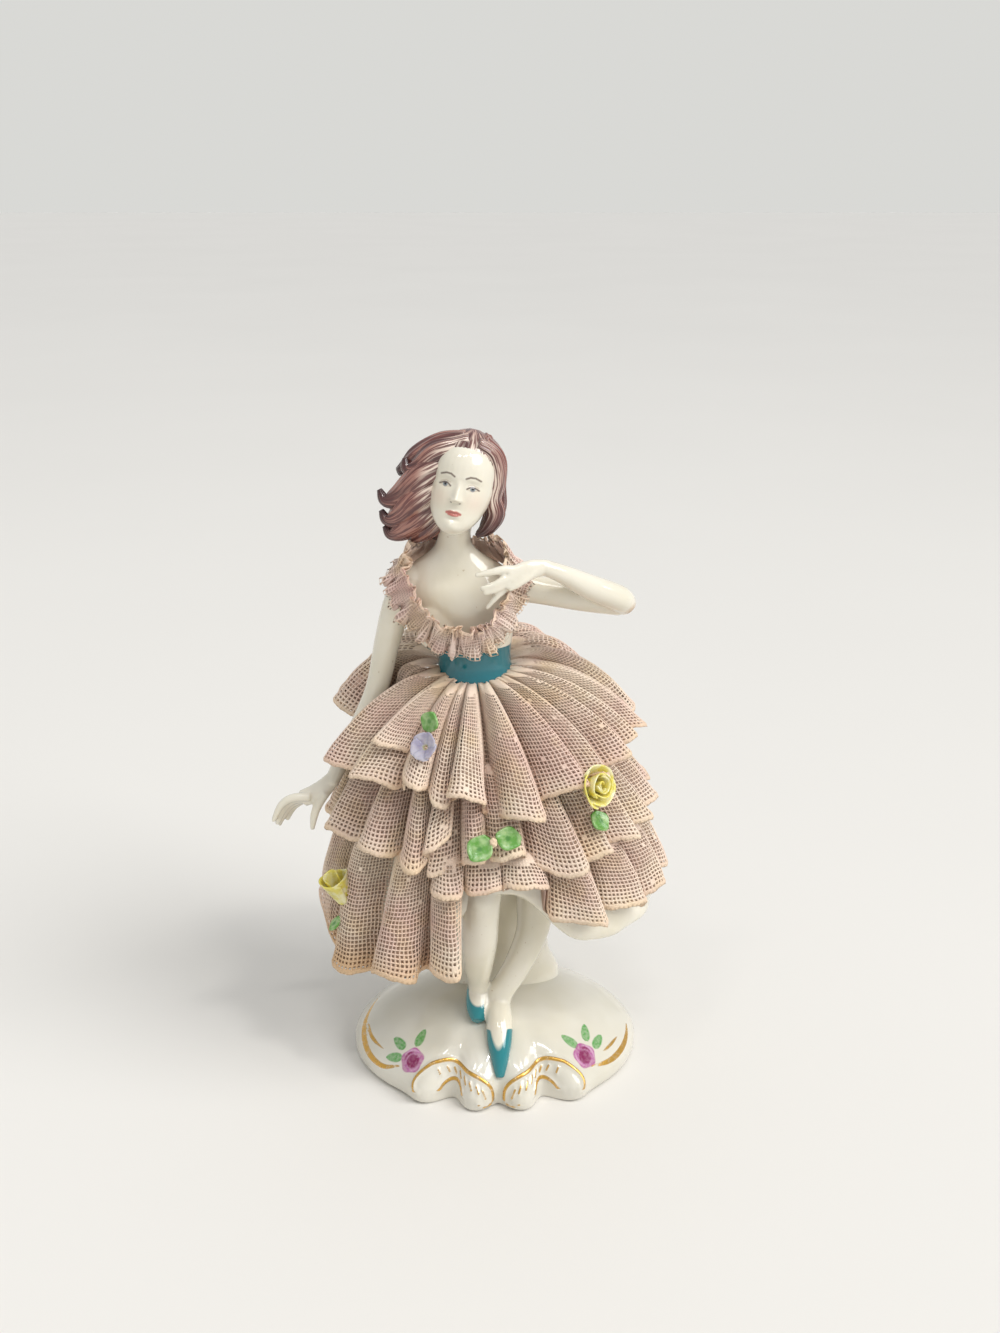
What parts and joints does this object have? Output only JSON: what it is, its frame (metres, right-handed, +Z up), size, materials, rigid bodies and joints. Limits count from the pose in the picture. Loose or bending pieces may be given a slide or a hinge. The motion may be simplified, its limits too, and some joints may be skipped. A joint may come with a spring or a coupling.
{
  "type": "dresden lace figurine",
  "caption": "Porcelain figurine of a dancer in tiered porcelain-lace skirts on a domed scrolled base, with small applied flowers and leaves.",
  "frame": {"origin": "centre of the flat underside of the base", "axes": "+Z up through the dancer, the dancer faces -Y, +X to the viewer's right from the front"},
  "size_m": [0.1004, 0.0752, 0.1657],
  "materials": {
    "base_porcelain": "gloss",
    "figure_porcelain": "gloss",
    "porcelain_lace": "satin",
    "yellow_glaze": "gloss",
    "lilac_glaze": "gloss",
    "green_glaze": "gloss"
  },
  "bodies": {
    "root": {"base": "base_porcelain", "dancer": "figure_porcelain", "flounce_top": "porcelain_lace", "flounce_middle": "porcelain_lace", "flounce_bottom": "porcelain_lace", "neck_ruffle": "porcelain_lace", "yellow_rose": "yellow_glaze", "yellow_rose_leaf": "green_glaze", "violet": "lilac_glaze", "violet_leaf": "green_glaze", "left_leaf": "green_glaze", "right_leaf": "green_glaze", "yellow_bud": "yellow_glaze", "yellow_bud_leaf": "green_glaze"}
  },
  "joints": []
}
